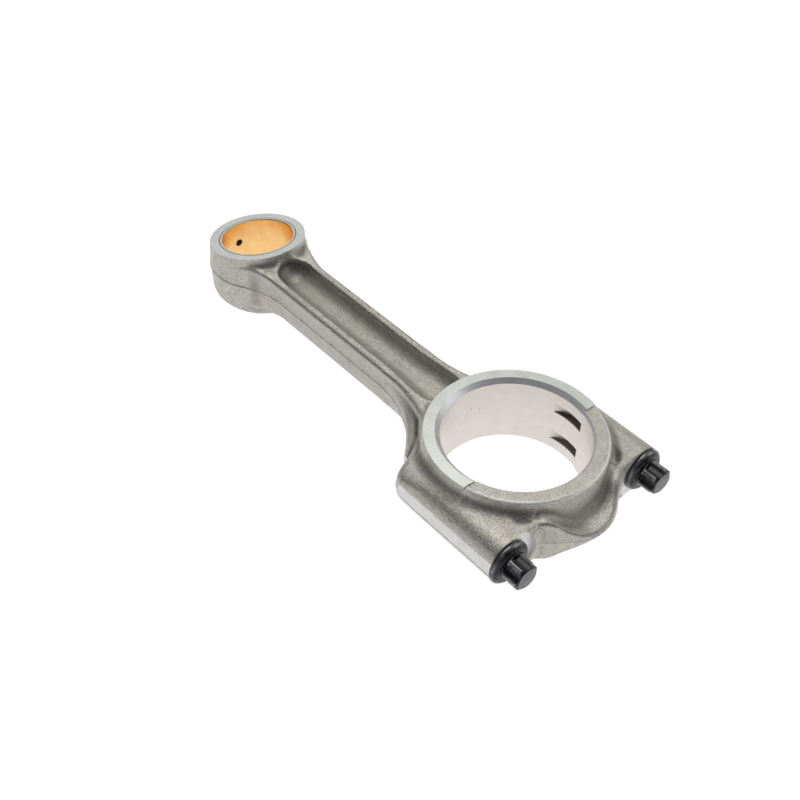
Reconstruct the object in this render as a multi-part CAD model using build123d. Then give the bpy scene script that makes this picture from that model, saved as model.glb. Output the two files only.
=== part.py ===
from build123d import *
import math
import os

# Split connecting rod, millimetres. The origin is the centre of the big-end bore, at mid width.
# +X runs along the shank to the small end, +Z is the bore axis, and the rod is symmetric about Z = 0.

# Big end
BORE_RADIUS = 36.5
ROD_CHAMFER = 2.0
CAP_CHAMFER = 1.2
RING_RADIUS = 44.5
RING_HALF_WIDTH = 20.0
CAP_RING_RADIUS = 43.8
CAP_HALF_WIDTH = 19.3
RING_DRAFT = 7.0
PARTING_X = -10.2

# Small end, whose faces lean so that it is thinner at the tip
CENTRE_DISTANCE = 209.5
EYE_RADIUS = 27.9
EYE_HALF_WIDTH = 15.8
EYE_LEAN = 8.6
EYE_DRAFT = 1.5
BUSH_OUTER_RADIUS = 22.0
BUSH_INNER_RADIUS = 20.0
BUSH_INTERFERENCE = 0.03
BUSH_CHAMFER = 0.5
OIL_HOLE_RADIUS = 2.2
OIL_MOUTH_RADIUS = 4.2

# Shank, an I section whose sides flare into both ends
SHANK_HALF_WIDTH = 15.0
SHANK_HALF_HEIGHT = 11.0
SHANK_DRAFT = 1.0
FLARE_RADIUS = 64.5
FLARE_START_X = 85.0
LAND_FLARE_RADIUS = 60.0
LAND_FLARE_START_X = 70.0
LAND_FLARE_SWEEP = 42.0
SKIRT_HALF_HEIGHT = 6.0
EYE_FLARE_RADIUS = 50.0
POCKET_HALF_WIDTH = 10.3
POCKET_END = 184.0
POCKET_CORNER = 8.0
POCKET_WALL_LEAN = 15.0
WEB_HALF_HEIGHT = 4.0

# Bolt bosses, one on each side of the big end
BOLT_OFFSET = 45.3
BOSS_FACE_Y = 54.8
BOSS_FACE_HALF_HEIGHT = 4.3
BOSS_SHOULDER = (50.8, 10.5)
BOSS_CREST = (42.0, 12.8)
BOSS_INNER_Y = 28.0
BOSS_CORNER_Y = 49.4
BOSS_FACE_START_X = 19.0
SEAT_X = -42.0
BOSS_LONGEST_X = 45.0

# Cap crown
CROWN_TIP_X = -58.0
CROWN_RADIUS = 27.0
CROWN_SWEEP = 36.0
CROWN_ROOT_FILLET = 4.0
CROWN_BLEND_Y = 36.0
CROWN_HALF_HEIGHT = 11.5
CROWN_DRAFT = 5.0
SCOOP_HALF_WIDTH = 18.5
SCOOP_FLOOR = 2.8
SCOOP_CORNER = 8.4
SCOOP_REACH_X = -40.0

# Slots in the rod for the tangs of the bearing shells, cut by a round cutter
SLOT_CENTRES = (-9.0, 9.0)
SLOT_WIDTH = 5.6
SLOT_CUTTER_RADIUS = 22.5
SLOT_CUTTER_CENTRE = (-6.7, -18.6)

# Cap bolts, M12 with a six-lobe outer drive
THREAD_RADIUS = 6.0
TAPPED_RADIUS = 6.1
CAP_HOLE_RADIUS = 6.4
WAIST_RADIUS = 5.1
WAIST_START = 12.0
THREAD_START = 26.0
BOLT_LENGTH = 66.0
TIP_CHAMFER = 1.2
FLANGE_RADIUS = 11.4
FLANGE_RIM = 2.0
FLANGE_TOP_RADIUS = 8.8
FLANGE_HEIGHT = 4.0
COLLAR_RADIUS = 8.0
COLLAR_HEIGHT = 4.8
DRIVE_TIP_RADIUS = 7.5
DRIVE_ROOT_RADIUS = 5.9
DRIVE_LOBES = 6
DRIVE_END = 13.2
DRIVE_CHAMFER = 1.7
DRIVE_CROWN_RISE = 0.2

MARGIN = 5.0
BIG = 400.0
TOLERANCE = 0.01
UPWARDS = (Align.CENTER, Align.CENTER, Align.MIN)
DOWNWARDS = (Align.CENTER, Align.CENTER, Align.MAX)
FORWARDS = (Align.MIN, Align.CENTER, Align.CENTER)


def polar(radius, degrees):
    """Point at a radius and an angle about Z."""
    angle = math.radians(degrees)
    return Vector(radius * math.cos(angle), radius * math.sin(angle))


def both_sides(shape):
    """The shape with its mirror image in the plane Y = 0."""
    return shape + mirror(shape, about=Plane.XZ)


def above_and_below(shape):
    """The shape with its mirror image in the plane Z = 0."""
    return shape + mirror(shape, about=Plane.XY)


def drafted_disc(radius_at_face, half_width, draft):
    """Round blank that is widest at mid width and narrows towards both faces."""
    spread = half_width * math.tan(math.radians(draft))
    half = Cone(radius_at_face + spread, radius_at_face, half_width, align=UPWARDS)
    return above_and_below(half)


def flare_corner():
    """Where the shank's flare meets the rounded corner of the boss."""
    drop = SHANK_HALF_WIDTH + FLARE_RADIUS - BOSS_CORNER_Y
    return Vector(FLARE_START_X - math.sqrt(FLARE_RADIUS ** 2 - drop ** 2), BOSS_CORNER_Y)


def flare_arc():
    """Concave arc from the straight shank out to the boss corner."""
    centre = Vector(FLARE_START_X, SHANK_HALF_WIDTH + FLARE_RADIUS)
    start = Vector(FLARE_START_X, SHANK_HALF_WIDTH)
    end = flare_corner()
    middle = centre + FLARE_RADIUS * ((start - centre) + (end - centre)).normalized()
    return ThreePointArc(start, middle, end)


def shank_outline():
    """Plan outline of the shank with its flares, on both sides of the centre line."""
    corner = flare_corner()
    rise = SHANK_HALF_WIDTH + EYE_FLARE_RADIUS
    reach = math.sqrt((EYE_RADIUS + EYE_FLARE_RADIUS) ** 2 - rise ** 2)
    eye = Vector(CENTRE_DISTANCE, 0)
    centre = eye + Vector(-reach, rise)
    flare_end = centre + EYE_FLARE_RADIUS * (eye - centre).normalized()
    flare_start = centre - Vector(0, EYE_FLARE_RADIUS)
    flare_middle = centre + EYE_FLARE_RADIUS * ((flare_end - centre) + (flare_start - centre)).normalized()
    edges = Curve() + [
        Line((0, 0), (0, BOSS_INNER_Y)),
        Line((0, BOSS_INNER_Y), corner),
        flare_arc(),
        Line((FLARE_START_X, SHANK_HALF_WIDTH), flare_start),
        ThreePointArc(flare_start, flare_middle, flare_end),
        Line(flare_end, eye),
        Line(eye, (0, 0)),
    ]
    return both_sides(make_face(edges))


def land_outline():
    """Plan outline of the shank's upper land on the +Y side, whose flare stays closer to the ring."""
    centre = Vector(LAND_FLARE_START_X, SHANK_HALF_WIDTH + LAND_FLARE_RADIUS)
    start = Vector(LAND_FLARE_START_X, SHANK_HALF_WIDTH)
    end = centre + polar(LAND_FLARE_RADIUS, -90 - LAND_FLARE_SWEEP)
    middle = centre + polar(LAND_FLARE_RADIUS, -90 - LAND_FLARE_SWEEP / 2)
    edges = Curve() + [
        Line((0, 0), (0, end.Y)),
        Line((0, end.Y), end),
        ThreePointArc(end, middle, start),
        Line(start, (LAND_FLARE_START_X, 0)),
        Line((LAND_FLARE_START_X, 0), (0, 0)),
    ]
    return make_face(edges)


def boss_outline():
    """Plan outline that rounds the start of the boss on the +Y side."""
    corner = flare_corner()
    tangent = Vector(-(SHANK_HALF_WIDTH + FLARE_RADIUS - corner.Y), FLARE_START_X - corner.X)
    face_start = Vector(BOSS_FACE_START_X, BOSS_FACE_Y)
    edges = Curve() + [
        Line((SEAT_X, 0), (FLARE_START_X, 0)),
        Line((FLARE_START_X, 0), (FLARE_START_X, SHANK_HALF_WIDTH)),
        flare_arc(),
        TangentArc(corner, face_start, tangent=tangent),
        Line(face_start, (SEAT_X, BOSS_FACE_Y)),
        Line((SEAT_X, BOSS_FACE_Y), (SEAT_X, 0)),
    ]
    return make_face(edges)


def bolt_boss():
    """Boss along the bolt on the +Y side, with its narrow machined outer face."""
    upper = Curve() + [
        Line((BOSS_INNER_Y, 0), (BOSS_INNER_Y, BOSS_CREST[1])),
        Line((BOSS_INNER_Y, BOSS_CREST[1]), BOSS_CREST),
        ThreePointArc(BOSS_CREST, BOSS_SHOULDER, (BOSS_FACE_Y, BOSS_FACE_HALF_HEIGHT)),
        Line((BOSS_FACE_Y, BOSS_FACE_HALF_HEIGHT), (BOSS_FACE_Y, 0)),
        Line((BOSS_FACE_Y, 0), (BOSS_INNER_Y, 0)),
    ]
    half_section = make_face(upper)
    section = half_section + mirror(half_section, about=Plane.XZ)
    start = Plane(origin=(SEAT_X, 0, 0), x_dir=(0, 1, 0), z_dir=(1, 0, 0))
    bar = extrude(start * section, BOSS_LONGEST_X - SEAT_X)
    return bar & extrude(boss_outline(), BOSS_CREST[1], both=True)


def pocket():
    """Upper pocket of the I section, with leaning walls and a round end near the small end."""
    floor_inset = (SHANK_HALF_HEIGHT - WEB_HALF_HEIGHT) * math.tan(math.radians(POCKET_WALL_LEAN))
    width = 2 * POCKET_HALF_WIDTH
    straight = RectangleRounded(POCKET_END, width, POCKET_CORNER, align=(Align.MIN, Align.CENTER))
    lowered = offset(straight, -floor_inset)
    return loft([Pos(0, 0, WEB_HALF_HEIGHT) * lowered, Pos(0, 0, SHANK_HALF_HEIGHT) * straight])


def eye_blank():
    """Small-end eye with drafted sides, cut to its leaning faces."""
    half_length = EYE_HALF_WIDTH + EYE_RADIUS * math.tan(math.radians(EYE_LEAN))
    face_radius = EYE_RADIUS - half_length * math.tan(math.radians(EYE_DRAFT))
    eye = Pos(CENTRE_DISTANCE, 0, 0) * drafted_disc(face_radius, half_length, EYE_DRAFT)
    return eye & eye_wedge()


def eye_wedge():
    """Space between the two leaning faces of the small end."""
    reach = EYE_RADIUS + MARGIN
    lean = reach * math.tan(math.radians(EYE_LEAN))
    thick = EYE_HALF_WIDTH + lean
    thin = EYE_HALF_WIDTH - lean
    corners = [(-reach, -thick), (reach, -thin), (reach, thin), (-reach, thick)]
    section = make_face(Polyline(*corners, close=True))
    wedge = extrude(Plane.XZ * section, reach, both=True)
    return Pos(CENTRE_DISTANCE, 0, 0) * wedge


def oil_hole():
    """Drilled hole through the tip of the small end, with a countersunk mouth."""
    drill = Plane(origin=(CENTRE_DISTANCE, 0, 0), z_dir=(1, 0, 0))
    hole = Cylinder(OIL_HOLE_RADIUS, EYE_RADIUS + MARGIN, align=UPWARDS)
    sink_depth = OIL_MOUTH_RADIUS - OIL_HOLE_RADIUS
    sink = Cone(OIL_HOLE_RADIUS, OIL_MOUTH_RADIUS, sink_depth, align=DOWNWARDS)
    mouth = Pos(0, 0, EYE_RADIUS) * sink
    return drill * (hole + mouth)


def chamfered_bore(half_width, chamfer):
    """Big-end bore with a chamfer at each face."""
    outer = BORE_RADIUS + chamfer + MARGIN
    cone = Cone(BORE_RADIUS, outer, outer - BORE_RADIUS, align=UPWARDS)
    mouth = Pos(0, 0, half_width - chamfer) * cone
    return Cylinder(BORE_RADIUS, 2 * (half_width + MARGIN)) + above_and_below(mouth)


def tang_slots():
    """Two slots that run out along the bore wall and are deepest near the joint."""
    cutter = Cylinder(SLOT_CUTTER_RADIUS, SLOT_WIDTH)
    return [Pos(*SLOT_CUTTER_CENTRE, height) * cutter for height in SLOT_CENTRES]


def bolt_holes(radius, low_x, high_x):
    """Matching holes along both bolt axes."""
    hole = Cylinder(radius, high_x - low_x, align=UPWARDS)
    placed = Plane(origin=(low_x, BOLT_OFFSET, 0), z_dir=(1, 0, 0)) * hole
    return both_sides(placed)


def rod_side():
    """Everything on the small-end side of the joint face."""
    return Pos(PARTING_X, 0, 0) * Box(BIG, BIG, BIG, align=FORWARDS)


def make_rod_body():
    """Forged rod with eye, I-section shank and the larger part of the big end."""
    beam = extrude(shank_outline(), SHANK_HALF_HEIGHT, taper=SHANK_DRAFT)
    beam &= Pos(LAND_FLARE_START_X, 0, 0) * Box(BIG, BIG, BIG, align=FORWARDS)
    skirt = extrude(shank_outline(), SKIRT_HALF_HEIGHT, taper=SHANK_DRAFT)
    land = both_sides(extrude(land_outline(), SHANK_HALF_HEIGHT))
    shank = above_and_below(beam + skirt + land) - above_and_below(pocket())
    ring = drafted_disc(RING_RADIUS, RING_HALF_WIDTH, RING_DRAFT)
    blank = shank + ring + both_sides(bolt_boss()) + eye_blank()
    blank &= rod_side()
    blank -= chamfered_bore(RING_HALF_WIDTH, ROD_CHAMFER)
    blank -= Pos(CENTRE_DISTANCE, 0, 0) * Cylinder(BUSH_OUTER_RADIUS, 4 * EYE_HALF_WIDTH)
    blank -= tang_slots()
    blank -= bolt_holes(TAPPED_RADIUS, PARTING_X - MARGIN, BOSS_LONGEST_X)
    return blank - oil_hole()


def crown_outline():
    """Plan outline of the cap's crown: rounded tip, straight flanks and filleted roots at the seats."""
    centre = Vector(CROWN_TIP_X + CROWN_RADIUS, 0)
    tip_half_chord = CROWN_RADIUS * math.sin(math.radians(CROWN_SWEEP))
    flank = centre + polar(CROWN_RADIUS, 180 - CROWN_SWEEP)
    slope = polar(1, 90 - CROWN_SWEEP)
    root = flank + slope * ((SEAT_X - flank.X) / slope.X)
    edges = Curve() + [
        ThreePointArc((flank.X, -tip_half_chord), (CROWN_TIP_X, 0), flank),
        Line(flank, root),
        Line(root, (SEAT_X, CROWN_BLEND_Y)),
        Line((SEAT_X, CROWN_BLEND_Y), (0, CROWN_BLEND_Y)),
        Line((0, CROWN_BLEND_Y), (0, -CROWN_BLEND_Y)),
        Line((0, -CROWN_BLEND_Y), (SEAT_X, -CROWN_BLEND_Y)),
        Line((SEAT_X, -CROWN_BLEND_Y), (root.X, -root.Y)),
        Line((root.X, -root.Y), (flank.X, -flank.Y)),
    ]
    face = make_face(edges)
    at_seats = face.vertices().filter_by(lambda vertex: abs(vertex.X - SEAT_X) < TOLERANCE)
    roots = at_seats.filter_by(lambda vertex: abs(abs(vertex.Y) - root.Y) < TOLERANCE)
    return fillet(roots, CROWN_ROOT_FILLET)


def crown_scoop():
    """Hollow between the ring and the outer edge of the crown, upper side."""
    reach = SCOOP_REACH_X - CROWN_TIP_X + MARGIN
    block = Box(reach, 2 * SCOOP_HALF_WIDTH, BIG, align=(Align.MAX, Align.CENTER, Align.MIN))
    block = fillet(block.faces().sort_by(Axis.Z)[0].edges().filter_by(Axis.X), SCOOP_CORNER)
    return Pos(SCOOP_REACH_X, 0, SCOOP_FLOOR) * block


def make_bearing_cap():
    """Bearing cap with the smaller part of the bore, the crown and both bolt seats."""
    crown = above_and_below(extrude(crown_outline(), CROWN_HALF_HEIGHT, taper=CROWN_DRAFT))
    crown -= above_and_below(crown_scoop())
    ring = drafted_disc(CAP_RING_RADIUS, CAP_HALF_WIDTH, RING_DRAFT)
    blank = crown + ring + both_sides(bolt_boss())
    blank -= rod_side()
    blank -= chamfered_bore(CAP_HALF_WIDTH, CAP_CHAMFER)
    return blank - bolt_holes(CAP_HOLE_RADIUS, SEAT_X - MARGIN, PARTING_X + MARGIN)


def make_bush():
    """Bush pressed into the small end, cut flush with its leaning faces."""
    bush = Cylinder(BUSH_OUTER_RADIUS + BUSH_INTERFERENCE, 4 * EYE_HALF_WIDTH)
    bush = Pos(CENTRE_DISTANCE, 0, 0) * bush & eye_wedge()
    bush -= Pos(CENTRE_DISTANCE, 0, 0) * Cylinder(BUSH_INNER_RADIUS, 4 * EYE_HALF_WIDTH)
    rims = bush.edges().filter_by(lambda edge: edge.geom_type == GeomType.ELLIPSE)
    inner = rims.filter_by(lambda edge: edge.length < math.tau * (BUSH_INNER_RADIUS + BUSH_OUTER_RADIUS) / 2)
    return chamfer(inner, BUSH_CHAMFER) - oil_hole()


def drive_outline():
    """Six-lobe outline of the bolt's outer drive."""
    step = 360 / DRIVE_LOBES
    points = []
    for lobe in range(DRIVE_LOBES):
        points.append(polar(DRIVE_TIP_RADIUS, lobe * step))
        points.append(polar(DRIVE_ROOT_RADIUS, (lobe + 0.5) * step))
    return make_face(Spline(*points, periodic=True))


def make_bolt():
    """Cap bolt along +X from its seat: tip and thread forwards, head backwards."""
    tip_radius = THREAD_RADIUS - TIP_CHAMFER
    crown_x = -DRIVE_END - DRIVE_CROWN_RISE
    profile = Polyline(
        (0, 0),
        (0, FLANGE_RADIUS),
        (-FLANGE_RIM, FLANGE_RADIUS),
        (-FLANGE_HEIGHT, FLANGE_TOP_RADIUS),
        (-FLANGE_HEIGHT, COLLAR_RADIUS),
        (-COLLAR_HEIGHT, COLLAR_RADIUS),
        (-COLLAR_HEIGHT, 0),
        close=True,
    )
    stem = Polyline(
        (0, 0),
        (0, THREAD_RADIUS),
        (WAIST_START, THREAD_RADIUS),
        (WAIST_START + 1, WAIST_RADIUS),
        (THREAD_START - 1, WAIST_RADIUS),
        (THREAD_START, THREAD_RADIUS),
        (BOLT_LENGTH - TIP_CHAMFER, THREAD_RADIUS),
        (BOLT_LENGTH, tip_radius),
        (BOLT_LENGTH, 0),
        close=True,
    )
    body = revolve(make_face(profile), Axis.X) + revolve(make_face(stem), Axis.X)
    head_plane = Plane(origin=(-COLLAR_HEIGHT + 1, 0, 0), z_dir=(-1, 0, 0))
    lobes = extrude(head_plane * drive_outline(), -crown_x - COLLAR_HEIGHT + 1)
    nose = Polyline(
        (0, 0),
        (0, DRIVE_TIP_RADIUS + 1),
        (-DRIVE_END + DRIVE_CHAMFER, DRIVE_TIP_RADIUS + 1),
        (-DRIVE_END + DRIVE_CHAMFER, DRIVE_TIP_RADIUS),
        (-DRIVE_END, DRIVE_TIP_RADIUS - DRIVE_CHAMFER),
        (crown_x, 0),
        close=True,
    )
    return body + (lobes & revolve(make_face(nose), Axis.X))


def main():
    """Build every node and write one STEP file for each."""
    bolt = make_bolt()
    nodes = {
        "rod_body": make_rod_body(),
        "bearing_cap": make_bearing_cap(),
        "small_end_bush": make_bush(),
        "cap_bolt_left": Pos(SEAT_X, BOLT_OFFSET, 0) * bolt,
        "cap_bolt_right": Pos(SEAT_X, -BOLT_OFFSET, 0) * bolt,
    }
    os.makedirs("parts", exist_ok=True)
    for name, solid in nodes.items():
        export_step(solid, f"parts/{name}.step")


main()
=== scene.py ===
"""Looks of the split connecting rod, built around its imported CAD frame. Shapes are in millimetres."""
import math

import bmesh
import bpy
import numpy as np
from mathutils import Matrix, Vector

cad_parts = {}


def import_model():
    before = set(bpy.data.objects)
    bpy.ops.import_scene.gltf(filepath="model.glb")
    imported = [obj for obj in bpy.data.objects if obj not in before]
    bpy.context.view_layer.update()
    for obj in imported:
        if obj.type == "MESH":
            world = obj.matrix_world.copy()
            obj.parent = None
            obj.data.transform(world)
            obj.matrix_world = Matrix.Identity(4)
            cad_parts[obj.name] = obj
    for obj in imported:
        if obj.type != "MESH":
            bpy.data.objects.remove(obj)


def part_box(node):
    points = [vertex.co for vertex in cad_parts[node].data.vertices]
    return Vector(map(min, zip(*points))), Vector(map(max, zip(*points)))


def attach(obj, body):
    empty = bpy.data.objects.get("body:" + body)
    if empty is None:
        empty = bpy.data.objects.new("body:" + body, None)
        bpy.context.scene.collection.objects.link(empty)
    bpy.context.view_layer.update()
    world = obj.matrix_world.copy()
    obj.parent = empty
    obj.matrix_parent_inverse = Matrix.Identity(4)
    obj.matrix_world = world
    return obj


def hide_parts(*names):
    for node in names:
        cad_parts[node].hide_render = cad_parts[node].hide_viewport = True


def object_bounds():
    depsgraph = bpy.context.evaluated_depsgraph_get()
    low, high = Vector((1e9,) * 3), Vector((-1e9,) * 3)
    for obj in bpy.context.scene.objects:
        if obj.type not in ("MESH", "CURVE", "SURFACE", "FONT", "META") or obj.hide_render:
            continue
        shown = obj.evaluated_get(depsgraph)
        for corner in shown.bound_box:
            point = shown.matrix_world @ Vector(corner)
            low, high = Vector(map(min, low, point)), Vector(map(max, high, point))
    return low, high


MM = 0.001
TOLERANCE = 0.01

# Meshing of the forged blanks
GRID_STEP = 0.62
GRID_HALF_Y = 58.3
GRID_MARGIN_X = 1.6
ROD_GRID_HALF_Z = 22.6
CAP_GRID_HALF_Z = 20.6
CAP_GRID_LOW_X = -60.3
PROJECTIONS = 3
GRADIENT_REACH = 0.05
LEAST_SLOPE = 0.05
CREVICE_REACHES = (1.6, 3.2)
SHARP_ANGLE = math.radians(28)
BOLT_SHARP_ANGLE = math.radians(34)

# Big end
BORE_RADIUS = 36.5
RING_RADIUS = 44.5
RING_HALF_WIDTH = 20.0
RING_STOCK = 1.5
CAP_HALF_WIDTH = 19.3
CAP_RIM_ROUND = 1.4
RING_DRAFT = 7.0
RING_RIM_ROUND = 0.3
RING_FOOT_FILLET = 5.0
ROD_CHAMFER = 2.2
CAP_CHAMFER = 1.0
CHAMFER_SLOPE = 1.1

# Small end
EYE_RADIUS = 27.9
EYE_HALF_WIDTH = 15.8
EYE_LEAN = 8.6
EYE_DRAFT = 3.2
EYE_FOOT_FILLET = 3.5
EYE_FILLET_END_Y = 23.0
EYE_FILLET_FADE = 6.0
EYE_DIVE = 0.15
EYE_DIVE_LIMIT = 2.0
EYE_RAMP_START_X = 166.0
EYE_RAMP_REACH = 20.0
EYE_RAMP_RISE = 2.6
LEAST_FILLET = 0.1
BUSH_OUTER_RADIUS = 22.0
BUSH_INNER_RADIUS = 20.0
BUSH_CHAMFER = 0.5
BUSH_OUTER_CHAMFER = 0.45
BUSH_LINING = 0.55
BUSH_GAP = 0.02
OIL_HOLE_RADIUS = 2.2
OIL_MOUTH_RADIUS = 4.2

# Shank
SHANK_HALF_WIDTH = 15.0
SHANK_HALF_HEIGHT = 10.9
SHANK_DRAFT = 1.0
FLANGE_ROUND = 1.9
FLARE_RADIUS = 64.5
FLARE_START_X = 85.0
LAND_FLARE_RADIUS = 60.0
LAND_FLARE_START_X = 70.0
LAND_WALL_LEAN = 24.0
LAND_LEAN_START_X = 76.0
LAND_LEAN_REACH = 20.0
SKIRT_START_HEIGHT = 1.8
SKIRT_END_HEIGHT = 7.6
LAND_END_X = 28.0
SLAB_START_X = 14.0
EYE_FLARE_RADIUS = 50.0
EYE_FLARE_START_X = 166.4
POCKET_HALF_WIDTH = 10.1
POCKET_WIDENING = 1.7
POCKET_WIDENING_REACH = 32.0
POCKET_START_X = 45.5
POCKET_END_X = 182.6
POCKET_CORNER = 9.6
POCKET_WALL_LEAN = 7.0
POCKET_FLOOR_FILLET = 8.2
POCKET_RIM_ROUND = 0.8
WEB_HALF_HEIGHT = 3.4

# Bolt bosses
BOSS_MIDDLE_Y = 42.0
BOSS_HALF_WIDTH = 13.0
BOSS_HALF_HEIGHT = 12.7
BOSS_SQUARENESS = 2.6
BOSS_INNER_Y = 27.5
BOSS_RAMP_X = 15.0
BOSS_RAMP_ANGLE = 17.0
BOSS_RAMP_ROUND = 6.0
BOSS_ROOT_FILLET = 4.0
BOSS_FILLET_FADE = 3.0
BOSS_INSET = 2.0
BOSS_INSET_START_X = 23.0
BOSS_INSET_REACH = 10.0
BOSS_CORNER_ROUND = 6.0
BOSS_SHOULDER_ROUND = 5.0
BOSS_FACE_Y = 54.8
SEAT_STOCK = 0.9
SEAT_EDGE_ROUND = 1.2
SEAT_CUTTER_RADIUS = 16.3

# Cap crown
CROWN_TIP_X = -58.0
CROWN_RADIUS = 27.0
CROWN_SWEEP = 36.0
CROWN_DRAFT = 5.0
CROWN_HALF_HEIGHT = 12.7
CROWN_FILLET_FADE = 5.0
CROWN_EDGE_ROUND = 1.8
CROWN_BLEND_Y = 36.0
CROWN_END_X = -16.0
CROWN_ROOT_FILLET = 4.0
CHANNEL_FLOOR = 2.6
CHANNEL_RISE = 8.7
CHANNEL_HALF_WIDTH = 20.0
CHANNEL_POWER = 2.6
CHANNEL_CORNER = 3.0
CHANNEL_SHARE_LIMIT = 1.2

# Flash line left where the dies met
FLASH_HEIGHT = 0.28
FLASH_WIDTH = 0.7

# Tang slots in the rod's bore
SLOT_CENTRES = (-9.0, 9.0)
SLOT_WIDTH = 5.6
SLOT_CUTTER_RADIUS = 22.5
SLOT_CUTTER_CENTRE = (-6.7, -18.6)
SLOT_DEPTH = 3.2

# Bolts and their holes
THREAD_RADIUS = 6.0
THREAD_PITCH = 1.5
THREAD_DEPTH = 0.85
THREAD_PEAK = 1.25
THREAD_SLOPE = 3.0
THREAD_START = 27.0
THREAD_RUN_IN = 26.6
THREAD_RINGS = 9
TAPPED_RADIUS = 6.1
TAP_SINK = 0.8
TAP_END_X = 60.0
CAP_HOLE_RADIUS = 6.4
BOLT_LENGTH = 66.0
TIP_CHAMFER = 1.2
# Flange as pairs of height above the seat and radius
FLANGE_PROFILE = [
    (4.6, 7.6), (4.2, 7.7), (3.9, 7.9), (3.8, 8.2), (3.9, 8.6), (3.85, 9.0), (3.5, 9.7), (2.9, 10.4),
    (2.3, 11.0), (1.9, 11.3), (1.4, 11.4), (0.7, 11.4), (0.2, 11.2), (0.0, 10.9),
]
# Stem down to the thread as pairs of depth below the seat and radius
STEM_PROFILE = [(0.0, 6.3), (0.5, 5.95), (12.0, 5.95), (13.2, 5.1), (25.6, 5.1)]
COLLAR_RADIUS = 8.0
COLLAR_HEIGHT = 4.6
DRIVE_FOOT_HEIGHT = 0.6
DRIVE_FOOT_INSET = 0.4
DRIVE_TIP_RADIUS = 7.55
DRIVE_LOBES = 6
DRIVE_END = 13.3
DRIVE_CHAMFER = 1.7
DRIVE_CROWN_RISE = 0.2
CROWN_FLAT_RADIUS = 5.5
FLUTE_CENTRE = 10.6
FLUTE_RADIUS = 4.9
RIDGE_ROUND = 0.45
RIDGE_WIDTH = 0.5
FLANGE_RIM_RADIUS = 10.7
FLANGE_RIM_HEIGHT = 1.2
# Share of the painted highlight that the flange's rim gets
RIM_HIGHLIGHT = 0.35
BOLT_TURNS = {"left": 0.0, "right": 45.0}

# Joint face between rod and cap
JOINT_STEP = 0.8
JOINT_HALF_Y = 62.0
JOINT_HALF_Z = 26.0
JOINT_ROUGHNESS = 0.6
PARTING_STOCK = 1.5

# Cutting tools: how far they run past their cuts, and where they end
MARGIN = 5.0
TOOL_REACH = 80.0
RING_TOOL_END_X = 70.0
STRIP_TOOL_END_X = 40.0

# Sides of the polygons that stand for circles
BORE_SEGMENTS = 256
BUSH_SEGMENTS = 224
EYE_SEGMENTS = 192
SLOT_SEGMENTS = 160
BOLT_SEGMENTS = 144
HOLE_SEGMENTS = 96
OIL_SEGMENTS = 48

# Stretches over which the forging's painted shade in hollows, painted highlight on the cap's rim, painted
# shade on lower edges and flash line start or end
SHADE_END_X = (150.0, 170.0)
SHADE_END_Y = (18.0, 21.0)
HIGHLIGHT_HEIGHTS = (15.0, 17.0)
EDGE_SHADE_HEIGHTS = (11.5, 13.0)
SEAM_FADE_X = (-24.0, -14.0)
SEAM_HEIGHTS = (0.28, 0.5)

# Usual limits of a noise texture, used where its whole contrast is wanted
NOISE_LOW = 0.3
NOISE_HIGH = 0.7
LINE_STRENGTH = 0.6

# Floor
FLOOR_RADIUS = 5000.0
FLOOR_THICKNESS = 20.0
FLOOR_CENTRE_X = 100.0
FLOOR_GAP = 0.02
FLOOR_GLOW = 1.0
FLOOR_TONE = (0.12, 0.12, 0.12, 1)
FLOOR_GLOW_TONE = (1.0, 0.985, 0.98, 1)
FLOOR_ROUGHNESS = 0.9

# Camera and studio, in metres and degrees; sensor and lens in millimetres
SENSOR_WIDTH = 36.0
LENS = 53.55
CAMERA_AZIMUTH = -132.123
CAMERA_ELEVATION = 43.099
CAMERA_ROLL = 2.279
CAMERA_TARGET = (0.06738, 0.0142, 0.0)
CAMERA_DISTANCE = 0.60484
BRIGHT_AZIMUTH = 48.0
BRIGHT_ELEVATION = 46.0
DARK_EDGE = 0.25
BRIGHT_EDGE = 0.85
DARK_TONE = (0.045, 0.045, 0.048, 1)
BRIGHT_TONE = (0.5, 0.49, 0.47, 1)
LIGHT_TARGET = (0.09, 0.0, 0.0)
# Name, azimuth, elevation, distance, size, power and colour
LIGHTS = [
    ("top_light", 48, 78, 1.1, 0.8, 5.0, (1.0, 0.99, 0.93)),
    ("back_light", 60, 24, 1.1, 0.9, 0.7, (0.98, 0.99, 1.0)),
    ("right_light", -40, 22, 1.2, 0.6, 2.6, (1.0, 0.98, 0.95)),
]


def round_max(a, b, radius):
    """Intersection of two fields whose shared edge is rounded."""
    corner = np.hypot(np.maximum(a + radius, 0), np.maximum(b + radius, 0))
    return np.minimum(-radius, np.maximum(a, b)) + corner


def round_min(a, b, radius):
    """Union of two fields whose shared corner is filleted."""
    return -round_max(-a, -b, radius)


def tan_of(degrees):
    """Slope of an angle in degrees."""
    return math.tan(math.radians(degrees))


def smooth_step(t):
    """Soft rise from 0 to 1 while t goes from 0 to 1."""
    t = np.clip(t, 0, 1)
    return t * t * (3 - 2 * t)


def flash(z):
    """Height of the thin flash ridge at the middle plane."""
    return FLASH_HEIGHT * np.exp(-(z / FLASH_WIDTH) ** 2)


def land_field(x, y, z, eye_x):
    """Plan distance to the shank's upper land, whose wall leans out where it passes the ring."""
    side = np.abs(y)
    straight = side - SHANK_HALF_WIDTH
    flare = LAND_FLARE_RADIUS - np.hypot(x - LAND_FLARE_START_X, straight - LAND_FLARE_RADIUS)
    lean = tan_of(LAND_WALL_LEAN) * smooth_step((LAND_LEAN_START_X - x) / LAND_LEAN_REACH)
    beyond = np.where(x < FLARE_START_X, straight, outline_field(x, y, eye_x))
    return np.where(x < LAND_FLARE_START_X, flare, beyond) - (SHANK_HALF_HEIGHT - z) * lean


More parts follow.
